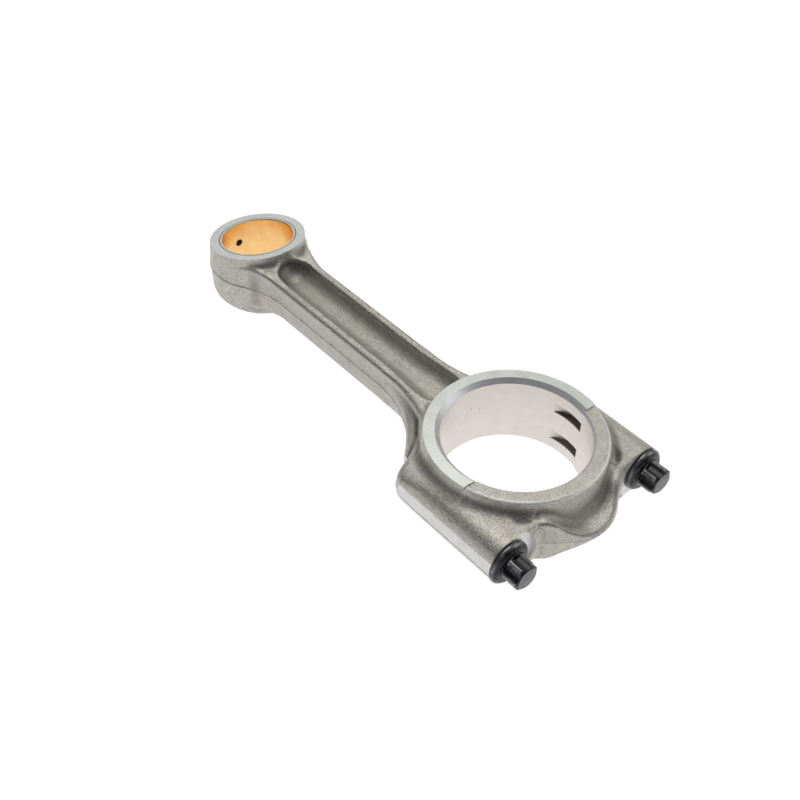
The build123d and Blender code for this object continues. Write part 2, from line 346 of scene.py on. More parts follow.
def outline_field(x, y, eye_x):
    """Plan distance to the shank's outline: straight sides, two flares and the start of the eye."""
    side = np.abs(y)
    straight = side - SHANK_HALF_WIDTH
    big = FLARE_RADIUS - np.hypot(x - FLARE_START_X, straight - FLARE_RADIUS)
    small = EYE_FLARE_RADIUS - np.hypot(x - EYE_FLARE_START_X, straight - EYE_FLARE_RADIUS)
    field = np.where(x < FLARE_START_X, big, straight)
    field = np.where(x > EYE_FLARE_START_X, small, field)
    eye = np.hypot(x - eye_x, y) - EYE_RADIUS
    rise = SHANK_HALF_WIDTH + EYE_FLARE_RADIUS
    run = eye_x - EYE_FLARE_START_X
    past = ((x - eye_x) * rise + side * run) / math.hypot(rise, run)
    return np.where(past > 0, eye + np.minimum(past * EYE_DIVE, EYE_DIVE_LIMIT), field)


def ring_field(x, y, z, half_width, rim_round):
    """Drafted ring around the big-end bore."""
    side = np.hypot(x, y) - RING_RADIUS - (RING_HALF_WIDTH - z) * tan_of(RING_DRAFT) - flash(z)
    return round_max(side * math.cos(math.radians(RING_DRAFT)), z - half_width, rim_round)


def pocket_field(x, y, z):
    """Hollow in the upper face of the shank."""
    widening = POCKET_WIDENING * smooth_step((FLARE_START_X - x) / POCKET_WIDENING_REACH)
    middle = (POCKET_START_X + POCKET_END_X) / 2
    along = np.abs(x - middle) - (POCKET_END_X - POCKET_START_X) / 2
    across = np.abs(y) - POCKET_HALF_WIDTH - widening
    box = round_max(along, across, POCKET_CORNER)
    lean = tan_of(POCKET_WALL_LEAN)
    wall = (box + np.maximum(SHANK_HALF_HEIGHT - z, 0) * lean) * math.cos(math.radians(POCKET_WALL_LEAN))
    return round_max(wall, WEB_HALF_HEIGHT - z, POCKET_FLOOR_FILLET)


def boss_section(y, z):
    """Rounded section of a bolt boss."""
    across = np.abs(y - BOSS_MIDDLE_Y) / BOSS_HALF_WIDTH
    upright = np.abs(z) / BOSS_HALF_HEIGHT
    spread = (across ** BOSS_SQUARENESS + upright ** BOSS_SQUARENESS) ** (1 / BOSS_SQUARENESS)
    edge = BOSS_HALF_HEIGHT * (np.where(y < BOSS_MIDDLE_Y, upright, spread) - 1)
    return np.maximum(edge, BOSS_INNER_Y - y)


def inset_share(x):
    """How far the bosses' ends have drawn back behind the skirt's side."""
    return smooth_step((x - BOSS_INSET_START_X) / BOSS_INSET_REACH)


def boss_field(x, y, z, at):
    """Both bolt bosses, from their seats to their shoulders on the flare."""
    side = np.abs(y)
    ramp = (x - BOSS_RAMP_X) * math.sin(math.radians(BOSS_RAMP_ANGLE))
    top = (z - BOSS_HALF_HEIGHT) * math.cos(math.radians(BOSS_RAMP_ANGLE)) + ramp
    section = round_max(boss_section(side, z), top, BOSS_RAMP_ROUND) - flash(z)
    outline = outline_field(x, y, at["eye_x"])
    corner = round_max(outline, side - BOSS_FACE_Y - BOSS_CORNER_ROUND, BOSS_CORNER_ROUND)
    end = np.maximum(corner + BOSS_INSET * inset_share(x) + z * tan_of(SHANK_DRAFT), x - FLARE_START_X)
    body = round_max(section, end - flash(z), BOSS_SHOULDER_ROUND)
    return round_max(body, at["seat_x"] - SEAT_STOCK - x, SEAT_EDGE_ROUND)


def eye_field(x, y, z, eye_x):
    """Small-end eye with drafted sides and some stock on its faces."""
    side = np.hypot(x - eye_x, y) - EYE_RADIUS + z * tan_of(EYE_DRAFT) - flash(z)
    face = z - EYE_HALF_WIDTH + (x - eye_x) * tan_of(EYE_LEAN) - RING_STOCK
    return np.maximum(side, face)


def skirt_share(z):
    """How far the skirt has given way to the flange above it at each height."""
    return smooth_step((z - SKIRT_START_HEIGHT) / (SKIRT_END_HEIGHT - SKIRT_START_HEIGHT))


def shank_field(x, y, z, at):
    """Small end and I-section shank: beam with pockets, and the lower skirt that flares out to the bosses."""
    eye_x = at["eye_x"]
    side = outline_field(x, y, eye_x) + z * tan_of(SHANK_DRAFT) - flash(z)
    upper = np.maximum(side, np.maximum(land_field(x, y, z, eye_x), LAND_END_X - x))
    top = SHANK_HALF_HEIGHT + EYE_RAMP_RISE * smooth_step((x - EYE_RAMP_START_X) / EYE_RAMP_REACH)
    slab = round_max(side + (upper - side) * skirt_share(z), z - top, FLANGE_ROUND)
    ends = np.maximum(x - eye_x, SLAB_START_X - x)
    slab = np.maximum(slab, np.maximum(ends, np.abs(y) - BOSS_MIDDLE_Y))
    fade = smooth_step((EYE_FILLET_END_Y - np.abs(y)) / EYE_FILLET_FADE)
    whole = round_min(slab, eye_field(x, y, z, eye_x), EYE_FOOT_FILLET * fade + LEAST_FILLET)
    return round_max(whole, -pocket_field(x, y, z), POCKET_RIM_ROUND)


def rod_field(x, y, z, at):
    """Forged blank of the rod."""
    z = np.abs(z)
    inside = smooth_step(-outline_field(x, y, at["eye_x"]) / BOSS_FILLET_FADE)
    fillet = BOSS_ROOT_FILLET * np.maximum(np.maximum(inside, inset_share(x)), skirt_share(z))
    body = round_min(shank_field(x, y, z, at), boss_field(x, y, z, at), fillet)
    ring = ring_field(x, y, z, RING_HALF_WIDTH + RING_STOCK, RING_RIM_ROUND)
    whole = round_min(body, ring, RING_FOOT_FILLET)
    return np.maximum(whole, at["parting_x"] - PARTING_STOCK - x)


def crown_field(x, y, z):
    """Crown of the cap with its U-shaped channel."""
    centre_x = CROWN_TIP_X + CROWN_RADIUS
    side = np.abs(y)
    sweep = math.radians(CROWN_SWEEP)
    tip = np.hypot(x - centre_x, y) - CROWN_RADIUS
    flank = side * math.sin(sweep) - (x - centre_x) * math.cos(sweep) - CROWN_RADIUS
    on_tip = side * math.cos(sweep) < -(x - centre_x) * math.sin(sweep)
    wall = np.where(on_tip, tip, flank) + z * tan_of(CROWN_DRAFT) - flash(z)
    share = np.minimum(side / CHANNEL_HALF_WIDTH, CHANNEL_SHARE_LIMIT)
    slope = CHANNEL_POWER * CHANNEL_RISE / CHANNEL_HALF_WIDTH * share ** (CHANNEL_POWER - 1)
    channel = (z - CHANNEL_FLOOR - CHANNEL_RISE * share ** CHANNEL_POWER) / np.hypot(1, slope)
    top = round_max(z - CROWN_HALF_HEIGHT, channel, CHANNEL_CORNER)
    body = round_max(wall, top, CROWN_EDGE_ROUND)
    return np.maximum(body, np.maximum(side - CROWN_BLEND_Y, x - CROWN_END_X))


def cap_field(x, y, z, at):
    """Forged blank of the bearing cap."""
    z = np.abs(z)
    fillet = CROWN_ROOT_FILLET * smooth_step((CROWN_HALF_HEIGHT - z) / CROWN_FILLET_FADE)
    body = round_min(crown_field(x, y, z), boss_field(x, y, z, at), fillet)
    whole = round_min(body, ring_field(x, y, z, CAP_HALF_WIDTH, CAP_RIM_ROUND), RING_FOOT_FILLET)
    return np.maximum(whole, x - at["parting_x"] - PARTING_STOCK)


# Corners of a grid cell, and its edges from a lower corner to a higher one
CORNERS = [(i, j, k) for i in (0, 1) for j in (0, 1) for k in (0, 1)]
EDGES = [
    (a, b) for a in CORNERS for b in CORNERS
    if sum(b) - sum(a) == 1 and all(q >= p for p, q in zip(a, b))
]


def net_vertices(values, mixed):
    """One vertex for each mixed cell, at the mean of its edges' crossings, in cell units."""
    cells = np.argwhere(mixed)
    total = np.zeros(cells.shape)
    count = np.zeros(len(cells))
    for a, b in EDGES:
        low = values[tuple((cells + a).T)]
        high = values[tuple((cells + b).T)]
        crossed = (low < 0) != (high < 0)
        share = np.where(crossed, low / np.where(crossed, low - high, 1), 0)
        point = np.array(a) + share[:, None] * (np.array(b) - np.array(a))
        total += point * crossed[:, None]
        count += crossed
    return cells + total / count[:, None]


def net_faces(values, number):
    """Quads across every grid edge that the surface crosses, wound outwards."""
    inside = values < 0
    faces = []
    for axis in range(3):
        first, second = [a for a in range(3) if a != axis]
        low = np.take(inside, range(inside.shape[axis] - 1), axis)
        high = np.take(inside, range(1, inside.shape[axis]), axis)
        crossed = low != high
        edges = np.argwhere(crossed)
        edges = edges[(edges[:, first] > 0) & (edges[:, second] > 0)]
        step_a = np.eye(3, dtype=int)[first]
        step_b = np.eye(3, dtype=int)[second]
        ring = [edges - step_a - step_b, edges - step_b, edges, edges - step_a]
        quads = np.stack([number[tuple(r.T)] for r in ring], 1)
        forward = low[tuple(edges.T)] != (axis == 1)
        quads[~forward] = quads[~forward][:, ::-1]
        faces.append(quads)
    return np.concatenate(faces)


def gradient(field, points):
    """Field's gradient by central differences."""
    parts = []
    for step in np.eye(3) * GRADIENT_REACH:
        parts.append(field(*(points + step).T) - field(*(points - step).T))
    return np.stack(parts, 1) / (2 * GRADIENT_REACH)


def surface(field, low, high):
    """Vertices and quads of the field's zero surface, with the vertices pulled onto it."""
    axes = [np.arange(lo, hi + GRID_STEP, GRID_STEP) for lo, hi in zip(low, high)]
    grid = np.meshgrid(*axes, indexing="ij", sparse=True)
    values = field(*grid)
    inside = (values < 0).astype(np.int8)
    ends = [slice(0, -1), slice(1, None)]
    count = sum(inside[ends[i], ends[j], ends[k]] for i, j, k in CORNERS)
    mixed = (count > 0) & (count < len(CORNERS))
    number = np.full(mixed.shape, -1, dtype=np.int64)
    number[mixed] = np.arange(mixed.sum())
    points = np.array(low) + net_vertices(values, mixed) * GRID_STEP
    for _ in range(PROJECTIONS):
        slope = gradient(field, points)
        size = np.maximum((slope ** 2).sum(1), LEAST_SLOPE)
        move = -field(*points.T)[:, None] * slope / size[:, None]
        points += np.clip(move, -GRID_STEP, GRID_STEP)
    return points, net_faces(values, number)


def new_object(name, points, faces):
    """Mesh object in the row frame from points in millimetres."""
    mesh = bpy.data.meshes.new(name)
    mesh.from_pydata(np.asarray(points, float) * MM, [], [list(map(int, f)) for f in faces])
    mesh.validate()
    obj = bpy.data.objects.new(name, mesh)
    bpy.context.scene.collection.objects.link(obj)
    return obj


def loft(rings):
    """Points and faces through rings of equal size, closed at both ends by fans of one face."""
    count = len(rings[0])
    points = np.concatenate(rings)
    faces = []
    for row in range(len(rings) - 1):
        base = row * count
        for i in range(count):
            j = (i + 1) % count
            faces.append((base + i, base + j, base + count + j, base + count + i))
    last = (len(rings) - 1) * count
    faces.append(tuple(range(count))[::-1])
    faces.append(tuple(range(last, last + count)))
    return points, faces


def turned(name, profile, axis, centre, segments):
    """Solid of revolution about X or Z through a centre, from pairs of distance along and radius."""
    angles = np.linspace(0, math.tau, segments, endpoint=False)
    rings = []
    for along, radius in profile:
        side_a = radius * np.cos(angles)
        side_b = radius * np.sin(angles)
        level = np.full(segments, float(along))
        columns = (level, side_a, side_b) if axis == "X" else (side_a, side_b, level)
        rings.append(np.stack(columns, 1) + np.array(centre))
    return new_object(name, *loft(rings))


def block(name, low, high):
    """Box between two corners, in millimetres."""
    points = [np.where(corner, high, low) for corner in CORNERS]
    faces = [(0, 1, 3, 2), (4, 6, 7, 5), (0, 4, 5, 1), (2, 3, 7, 6), (0, 2, 6, 4), (1, 5, 7, 3)]
    return new_object(name, points, faces)


def outward(obj):
    """Turns every face of a closed mesh to the outside."""
    work = bmesh.new()
    work.from_mesh(obj.data)
    bmesh.ops.recalc_face_normals(work, faces=work.faces)
    work.to_mesh(obj.data)
    work.free()


def cut(obj, tools):
    """Takes each tool away from the object; the new faces carry the tool's material."""
    for tool in tools:
        outward(tool)
        change = obj.modifiers.new(tool.name, "BOOLEAN")
        change.operation = "DIFFERENCE"
        change.solver = "MANIFOLD"
        change.material_mode = "TRANSFER"
        change.object = tool
    graph = bpy.context.evaluated_depsgraph_get()
    result = bpy.data.meshes.new_from_object(obj.evaluated_get(graph), depsgraph=graph)
    obj.modifiers.clear()
    obj.data = result
    for tool in tools:
        bpy.data.objects.remove(tool)


def joint_relief(y, z):
    """Small waviness of the broken joint face, the same for both halves."""
    coarse = 0.16 * np.sin(0.55 * y + 1.3 * np.sin(0.31 * z)) * np.cos(0.43 * z + 0.8)
    middle = 0.09 * np.sin(1.31 * y + 2.1 * z) + 0.08 * np.sin(2.23 * z - 1.07 * y + 0.5)
    fine = 0.05 * np.sin(3.7 * y + 1.9 * np.sin(2.9 * z)) + 0.04 * np.sin(5.3 * z + 2.2 * y)
    return JOINT_ROUGHNESS * (coarse + middle + fine)


def joint_tool(parting_x, towards):
    """Solid on one side of the broken joint face: towards is +1 for the rod's side and -1 for the cap's."""
    ys = np.arange(-JOINT_HALF_Y, JOINT_HALF_Y + JOINT_STEP / 2, JOINT_STEP)
    zs = np.arange(-JOINT_HALF_Z, JOINT_HALF_Z + JOINT_STEP / 2, JOINT_STEP)
    grid_y, grid_z = np.meshgrid(ys, zs, indexing="ij")
    near = np.stack([parting_x + joint_relief(grid_y, grid_z), grid_y, grid_z], -1)
    far = near.copy()
    far[..., 0] = parting_x + towards * TOOL_REACH
    points = np.concatenate([near.reshape(-1, 3), far.reshape(-1, 3)])
    rows, columns = grid_y.shape
    layer = rows * columns
    index = np.arange(layer).reshape(rows, columns)
    faces = []
    for offset in (0, layer):
        quads = [index[:-1, :-1], index[1:, :-1], index[1:, 1:], index[:-1, 1:]]
        sheet = np.stack([q.ravel() + offset for q in quads], 1)
        faces.extend(sheet if offset else sheet[:, ::-1])
    rim = list(index[:, 0]) + list(index[-1, 1:]) + list(index[-2::-1, -1]) + list(index[0, -2:0:-1])
    for a, b in zip(rim, rim[1:] + rim[:1]):
        faces.append((a, b, b + layer, a + layer))
    return new_object("joint_tool", points, faces)


def bore_tool(name, radius, centre_x, segments):
    """Boring bar along Z, of a radius and at a place along the rod."""
    profile = [(-TOOL_REACH, radius), (TOOL_REACH, radius)]
    return turned(name, profile, "Z", (centre_x, 0, 0), segments)


def chamfer_tools(half_width, chamfer):
    """Cones that cut the chamfers at both mouths of the big-end bore."""
    inner = BORE_RADIUS - MARGIN * CHAMFER_SLOPE
    outer = BORE_RADIUS + (chamfer + MARGIN) * CHAMFER_SLOPE
    upper = [(half_width - chamfer - MARGIN, inner), (half_width + MARGIN, outer)]
    lower = [(-along, radius) for along, radius in upper]
    return [turned("chamfer_tool", side, "Z", (0, 0, 0), BORE_SEGMENTS) for side in (upper, lower)]


def eye_face_tool(eye_x, side):
    """Wedge that cuts one leaning face of the small end."""
    reach = EYE_RADIUS + MARGIN
    lean = reach * tan_of(EYE_LEAN)
    points = []
    for y in (-reach, reach):
        points.append((eye_x - reach, y, side * (EYE_HALF_WIDTH + lean)))
        points.append((eye_x + reach, y, side * (EYE_HALF_WIDTH - lean)))
        points.append((eye_x + reach, y, side * TOOL_REACH))
        points.append((eye_x - reach, y, side * TOOL_REACH))
    faces = [(0, 1, 2, 3), (4, 5, 6, 7), (0, 1, 5, 4), (1, 2, 6, 5), (2, 3, 7, 6), (3, 0, 4, 7)]
    return new_object("eye_face_tool", points, faces)


def oil_drill(eye_x):
    """Drill for the small end's oil hole."""
    profile = [(0, OIL_HOLE_RADIUS), (EYE_RADIUS + MARGIN, OIL_HOLE_RADIUS)]
    return turned("oil_drill", profile, "X", (eye_x, 0, 0), OIL_SEGMENTS)


def oil_sink(eye_x):
    """Countersink at the mouth of the oil hole."""
    start = EYE_RADIUS - OIL_MOUTH_RADIUS
    profile = [(start, TOLERANCE), (start + OIL_MOUTH_RADIUS + MARGIN, OIL_MOUTH_RADIUS + MARGIN)]
    return turned("oil_sink", profile, "X", (eye_x, 0, 0), OIL_SEGMENTS)


def bolt_hole_tools(at, profile):
    """The same turned tool along both bolt axes."""
    return [turned("hole_tool", profile, "X", (0, side * at["bolt_y"], 0), HOLE_SEGMENTS) for side in (1, -1)]


def strip_tools():
    """Blocks that mill the narrow outer faces of the bosses."""
    tools = []
    for side in (1, -1):
        low = (-TOOL_REACH, side * BOSS_FACE_Y, -TOOL_REACH)
        tools.append(block("strip_tool", low, (STRIP_TOOL_END_X, side * TOOL_REACH, TOOL_REACH)))
    return tools


def ring_face_tools():
    """Blocks that grind the rod's two thrust faces."""
    tools = []
    for side in (1, -1):
        low = (-TOOL_REACH, -TOOL_REACH, side * RING_HALF_WIDTH)
        tools.append(block("top_tool", low, (RING_TOOL_END_X, TOOL_REACH, side * TOOL_REACH)))
    return tools


def slot_tools():
    """Round cutter passes for the two tang slots."""
    tools = []
    for centre in SLOT_CENTRES:
        low, high = centre - SLOT_WIDTH / 2, centre + SLOT_WIDTH / 2
        profile = [(low, SLOT_CUTTER_RADIUS), (high, SLOT_CUTTER_RADIUS)]
        tools.append(turned("slot_tool", profile, "Z", (*SLOT_CUTTER_CENTRE, 0), SLOT_SEGMENTS))
    return tools


def given(material, objects):
    """The same objects, each carrying the material; a tool leaves it on the faces that it cuts."""
    for obj in objects:
        obj.data.materials.append(material)
    return objects


def crevice(field, points):
    """How hollow the surface is near each point, from the field's curvature at two scales."""
    total = np.zeros(len(points))
    steps = [sign * row for row in np.eye(3) for sign in (1, -1)]
    for reach in CREVICE_REACHES:
        around = sum(field(*(points + reach * step).T) for step in steps)
        total -= (around - len(steps) * field(*points.T)) / reach
    return total / len(CREVICE_REACHES)


def smooth(obj, sharp_angle):
    """Smooth shading that keeps the edges sharper than an angle."""
    obj.data.polygons.foreach_set("use_smooth", [True] * len(obj.data.polygons))
    obj.data.set_sharp_from_angle(angle=sharp_angle)


def vertices_of(obj):
    """The object's vertices in millimetres."""
    points = np.zeros(len(obj.data.vertices) * 3)
    obj.data.vertices.foreach_get("co", points)
    return points.reshape(-1, 3) / MM


def mark(obj, name, values):
    """Gives the object's vertices an attribute that its material reads."""
    layer = obj.data.attributes.new(name, "FLOAT", "POINT")
    layer.data.foreach_set("value", values.astype(np.float32))


def finish_mesh(obj, field):
    """Smooth shading with sharp machined edges, and the crevice attribute for the shader."""
    smooth(obj, SHARP_ANGLE)
    mark(obj, "crevice", crevice(field, vertices_of(obj)))
    obj.data.update()


def make_rod(at, paint):
    """Rod: forged blank, then every machining cut."""
    def field(x, y, z):
        return rod_field(x, y, z, at)
    eye_x, parting_x = at["eye_x"], at["parting_x"]
    low = (parting_x - PARTING_STOCK - GRID_MARGIN_X, -GRID_HALF_Y, -ROD_GRID_HALF_Z)
    high = (eye_x + EYE_RADIUS + GRID_MARGIN_X, GRID_HALF_Y, ROD_GRID_HALF_Z)
    blank = new_object("rod_body_forging", *surface(field, low, high))
    given(paint["forged"], [blank])
    sink = (parting_x - MARGIN, TAPPED_RADIUS + MARGIN + TAP_SINK)
    tap = [sink, (parting_x + TAP_SINK, TAPPED_RADIUS), (TAP_END_X, TAPPED_RADIUS)]
    eye_bore = bore_tool("eye_bore_tool", BUSH_OUTER_RADIUS, eye_x, EYE_SEGMENTS)
    tools = given(paint["fracture"], [joint_tool(parting_x, -1)])
    tools += given(paint["ground"], ring_face_tools() + [eye_face_tool(eye_x, side) for side in (1, -1)])
    tools += given(paint["bored"], [bore_tool("bore_tool", BORE_RADIUS, 0, BORE_SEGMENTS)])
    tools += given(paint["chamfer"], chamfer_tools(RING_HALF_WIDTH, ROD_CHAMFER))
    tools += given(paint["slot"], slot_tools())
    tools += given(paint["milled"], strip_tools() + [eye_bore] + bolt_hole_tools(at, tap) + [oil_sink(eye_x)])
    tools += given(paint["drilled"], [oil_drill(eye_x)])
    cut(blank, tools)
    finish_mesh(blank, field)
    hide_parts("rod_body")
    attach(blank, "rod")
    return blank


def make_cap(at, paint):
    """Bearing cap: forged blank, then every machining cut."""
    def field(x, y, z):
        return cap_field(x, y, z, at)
    seat_x, parting_x = at["seat_x"], at["parting_x"]
    low = (CAP_GRID_LOW_X, -GRID_HALF_Y, -CAP_GRID_HALF_Z)
    high = (parting_x + PARTING_STOCK + GRID_MARGIN_X, GRID_HALF_Y, CAP_GRID_HALF_Z)
    blank = new_object("bearing_cap_forging", *surface(field, low, high))
    given(paint["forged"], [blank])
    tools = given(paint["fracture"], [joint_tool(parting_x, 1)])
    tools += given(paint["bored"], [bore_tool("bore_tool", BORE_RADIUS, 0, BORE_SEGMENTS)])
    tools += given(paint["chamfer"], chamfer_tools(CAP_HALF_WIDTH, CAP_CHAMFER))
    seats = [(seat_x - TOOL_REACH, SEAT_CUTTER_RADIUS), (seat_x, SEAT_CUTTER_RADIUS)]
    holes = [(seat_x - MARGIN, CAP_HOLE_RADIUS), (MARGIN, CAP_HOLE_RADIUS)]
    tools += given(paint["milled"], strip_tools() + bolt_hole_tools(at, seats) + bolt_hole_tools(at, holes))
    cut(blank, tools)
    finish_mesh(blank, field)
    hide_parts("bearing_cap")
    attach(blank, "cap")
    return blank


def make_bush(at, paint):
    """Bush with leaning ends: a steel back and a bronze lining, in one piece."""
    seam = BUSH_INNER_RADIUS + BUSH_LINING
    outer = BUSH_OUTER_RADIUS - BUSH_GAP
    section = [
        (BUSH_INNER_RADIUS, BUSH_CHAMFER), (BUSH_INNER_RADIUS + BUSH_CHAMFER, 0), (seam, 0),
        (outer - BUSH_OUTER_CHAMFER, 0), (outer, BUSH_OUTER_CHAMFER),
    ]
    loop = [(radius, drop, 1) for radius, drop in section]
    loop += [(radius, drop, -1) for radius, drop in section[::-1]]
    points = []
    for angle in np.linspace(0, math.tau, BUSH_SEGMENTS, endpoint=False):
        for radius, drop, side in loop:
            along = radius * math.cos(angle)
            half = EYE_HALF_WIDTH - along * tan_of(EYE_LEAN) - drop
            points.append((at["eye_x"] + along, radius * math.sin(angle), side * half))
    count = len(loop)
    faces = []
    for i in range(BUSH_SEGMENTS):
        j = (i + 1) % BUSH_SEGMENTS
        for k in range(count):
            m = (k + 1) % count
            faces.append((i * count + k, j * count + k, j * count + m, i * count + m))
    bush = new_object("bush_lined", points, faces)
    # the bush's outer face and outer chamfer take the drilled material's painted shade
    for name in ("bronze", "ground", "drilled"):
        given(paint[name], [bush])
    inner = [min(loop[k][0], loop[(k + 1) % count][0]) for k in range(count)]
    layer = [(radius >= seam) + (radius >= outer - BUSH_OUTER_CHAMFER) for radius in inner]
    for number, face in enumerate(bush.data.polygons):
        face.material_index = layer[number % count]
    outward(bush)
    cut(bush, given(paint["drilled"], [oil_drill(at["eye_x"])]))
    smooth(bush, SHARP_ANGLE)
    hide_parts("small_end_bush")
    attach(bush, "rod")
    return bush


def drive_radius(angle):
    """Six-lobe outline of the bolt's head: narrow rounded ridges between hollow flutes."""
    step = math.tau / DRIVE_LOBES
    from_flute = (angle % step) - step / 2
    under = np.maximum(FLUTE_RADIUS ** 2 - (FLUTE_CENTRE * np.sin(from_flute)) ** 2, 0)
    flute = np.where(under > 0, FLUTE_CENTRE * np.cos(from_flute) - np.sqrt(under), DRIVE_TIP_RADIUS + MARGIN)
    blend = np.maximum(RIDGE_ROUND - np.abs(flute - DRIVE_TIP_RADIUS), 0) / RIDGE_ROUND
    return np.minimum(flute, DRIVE_TIP_RADIUS) - blend ** 2 * RIDGE_ROUND / 4


def thread_radius(along, angle):
    """Radius of the bolt's rolled thread, fading in at its start."""
    phase = (along / THREAD_PITCH - angle / math.tau) % 1
    wave = np.clip(THREAD_PEAK - np.abs(phase - 0.5) * THREAD_SLOPE, 0, 1)
    fade = smooth_step((along - THREAD_START) / THREAD_PITCH)
    return THREAD_RADIUS - THREAD_DEPTH * wave * fade


def bolt_rings():
    """The bolt's sections as pairs of distance from the seat and radii, from the head's crown to the tip."""
    angle = np.linspace(0, math.tau, BOLT_SEGMENTS, endpoint=False)
    full = np.ones(BOLT_SEGMENTS)
    lobes = drive_radius(angle)
    chamfer_slope = (DRIVE_TIP_RADIUS - CROWN_FLAT_RADIUS) / DRIVE_CHAMFER
    rings = []
    for share in (0.04, 0.3, 0.6, 0.85, 1.0):
        rings.append((-DRIVE_END - DRIVE_CROWN_RISE * (1 - share ** 2), full * CROWN_FLAT_RADIUS * share))
    for along in np.linspace(-DRIVE_END, -DRIVE_END + DRIVE_CHAMFER, 6)[1:]:
        cone = CROWN_FLAT_RADIUS + (along + DRIVE_END) * chamfer_slope
        rings.append((along, np.minimum(lobes, cone)))
    for along in np.linspace(-DRIVE_END + DRIVE_CHAMFER, -COLLAR_HEIGHT - DRIVE_FOOT_HEIGHT, 8)[1:]:
        rings.append((along, lobes))
    for share in (0.35, 0.7, 1.0):
        spread = (COLLAR_RADIUS - DRIVE_FOOT_INSET - lobes) * share ** 2
        rings.append((-COLLAR_HEIGHT - DRIVE_FOOT_HEIGHT * (1 - share), lobes + spread))
    rings += [(-height, full * radius) for height, radius in FLANGE_PROFILE]
    rings += [(along, full * radius) for along, radius in STEM_PROFILE]
    for along in np.arange(THREAD_RUN_IN, BOLT_LENGTH - TIP_CHAMFER, THREAD_PITCH / THREAD_RINGS):
        rings.append((along, thread_radius(along, angle)))
    for share in (0.3, 0.65, 1.0):
        along = BOLT_LENGTH - TIP_CHAMFER * (1 - share)
        limit = THREAD_RADIUS - TIP_CHAMFER * share
        rings.append((along, np.minimum(thread_radius(along, angle), limit)))
    return angle, rings


def mark_ridges(bolt, side, at):
    """Marks the ridges of the head fully and the rim of its flange partly, for the painted highlights of the
    bolt's material.
    """
    x, y, z = vertices_of(bolt).T
    radius = np.hypot(y - side * at["bolt_y"], z)
    height = at["seat_x"] - x
    off_ridge = (radius - DRIVE_TIP_RADIUS) * 2 / RIDGE_WIDTH + 1
    ridge = np.exp(-off_ridge ** 2) * (height > COLLAR_HEIGHT)
    rim = RIM_HIGHLIGHT * smooth_step((radius - FLANGE_RIM_RADIUS) / RIDGE_WIDTH) * (height > FLANGE_RIM_HEIGHT)
    mark(bolt, "ridge", np.maximum(ridge, rim))


def make_bolt(side, at, paint):
    """Cap bolt on the +Y side (+1) or the -Y side (-1)."""
    word = "left" if side > 0 else "right"
    turn = math.radians(BOLT_TURNS[word])
    angle, rings = bolt_rings()
    sections = []
    for along, radii in rings:
        level = np.full(len(angle), at["seat_x"] + along)
        place_y = side * at["bolt_y"] + radii * np.cos(angle + turn)
        sections.append(np.stack([level, place_y, radii * np.sin(angle + turn)], 1))
    bolt = new_object("bolt_six_lobe_" + word, *loft(sections))
    outward(bolt)
    given(paint["bolt"], [bolt])
    given(paint["bolt_end"], [bolt])
    for face in bolt.data.polygons:
        face.material_index = int(face.center.x / MM < at["seat_x"] - DRIVE_END + TOLERANCE)
    smooth(bolt, BOLT_SHARP_ANGLE)
    mark_ridges(bolt, side, at)
    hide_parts("cap_bolt_" + word)
    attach(bolt, "bolt_" + word)
    return bolt


def node(tree, kind, inputs=None, **settings):
    """Shader node with its settings, values and links."""
    made = tree.nodes.new(kind)
    for key, value in settings.items():
        setattr(made, key, value)
    for key, value in (inputs or {}).items():
        if isinstance(value, bpy.types.NodeSocket):
            tree.links.new(value, made.inputs[key])
        else:
            made.inputs[key].default_value = value
    return made


def new_material(name, metallic):
    """Material with its tree, its main shader and its coordinates in millimetres."""
    made = bpy.data.materials.new(name)
    made.use_nodes = True
    tree = made.node_tree
    shader = tree.nodes["Principled BSDF"]
    shader.inputs["Metallic"].default_value = metallic
    place = node(tree, "ShaderNodeTexCoord")
    scaled = node(tree, "ShaderNodeMapping", {"Vector": place.outputs["Object"], "Scale": (1000, 1000, 1000)})
    return made, tree, shader, scaled.outputs["Vector"]


def noise(tree, where, size, detail=2.0, roughness=0.5, stretch=None, turn=0):
    """Noise whose cells are about size millimetres wide, turned about Z by degrees and stretched if asked."""
    if stretch:
        inputs = {"Vector": where, "Scale": stretch, "Rotation": (0, 0, math.radians(turn))}
        where = node(tree, "ShaderNodeMapping", inputs).outputs["Vector"]
    inputs = {"Vector": where, "Scale": 1 / size, "Detail": detail, "Roughness": roughness}
    return node(tree, "ShaderNodeTexNoise", inputs).outputs["Fac"]


def span(tree, value, low, high, to_low, to_high):
    """Value carried from one range to another, without passing its ends."""
    inputs = {"Value": value, "From Min": low, "From Max": high, "To Min": to_low, "To Max": to_high}
    return node(tree, "ShaderNodeMapRange", inputs).outputs["Result"]


def full_span(tree, fac, to_low, to_high):
    """Noise or its like carried from its usual limits to a range."""
    return span(tree, fac, NOISE_LOW, NOISE_HIGH, to_low, to_high)


def mix(tree, share, first, second, blend="MIX"):
    """Colour mix; share, first and second are values or sockets."""
    made = node(tree, "ShaderNodeMix", data_type="RGBA", blend_type=blend)
    for index, value in ((0, share), (6, first), (7, second)):
        if isinstance(value, bpy.types.NodeSocket):
            tree.links.new(value, made.inputs[index])
        else:
            made.inputs[index].default_value = value
    return made.outputs[2]


def maths(tree, operation, first, second):
    """Result of a two-value sum, product or the like."""
    return node(tree, "ShaderNodeMath", {0: first, 1: second}, operation=operation).outputs["Value"]


def bump(tree, shader, height, depth, strength=1.0):
    """Bump on a shader; depth is in millimetres."""
    made = node(tree, "ShaderNodeBump", {"Height": height, "Distance": depth * MM, "Strength": strength})
    tree.links.new(made.outputs["Normal"], shader.inputs["Normal"])


